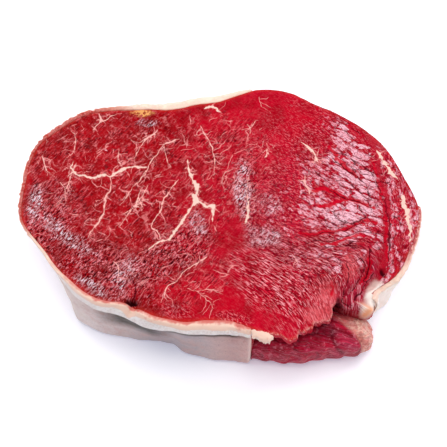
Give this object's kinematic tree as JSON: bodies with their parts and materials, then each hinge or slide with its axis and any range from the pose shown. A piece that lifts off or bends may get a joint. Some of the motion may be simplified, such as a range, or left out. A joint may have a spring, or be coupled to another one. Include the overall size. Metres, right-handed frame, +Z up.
{
  "type": "beef topside",
  "caption": "Raw beef joint cut as a thick slab: marbled red lean with a flat cut face, a cream fat cap wrapped round one side and a small dark muscle tucked under the front edge.",
  "frame": {"origin": "bottom centre of the whole joint's bounding box, on the surface it lies on", "axes": "+X along the joint's length, +Y across its width, +Z up through its thickness, the cut face on top"},
  "size_m": [0.2362, 0.1702, 0.0475],
  "materials": {
    "lean": "raw lean beef, moist cut face, satin",
    "fat_cap": "raw beef fat under thin grey-cream membrane, smooth, satin",
    "side_fat": "raw beef fat, cream, satin",
    "side_muscle": "raw beef muscle under silverskin, dark red, moist"
  },
  "bodies": {
    "root": {"lean": "lean", "fat_cap": "fat_cap", "side_fat": "side_fat", "side_muscle": "side_muscle"}
  },
  "joints": []
}
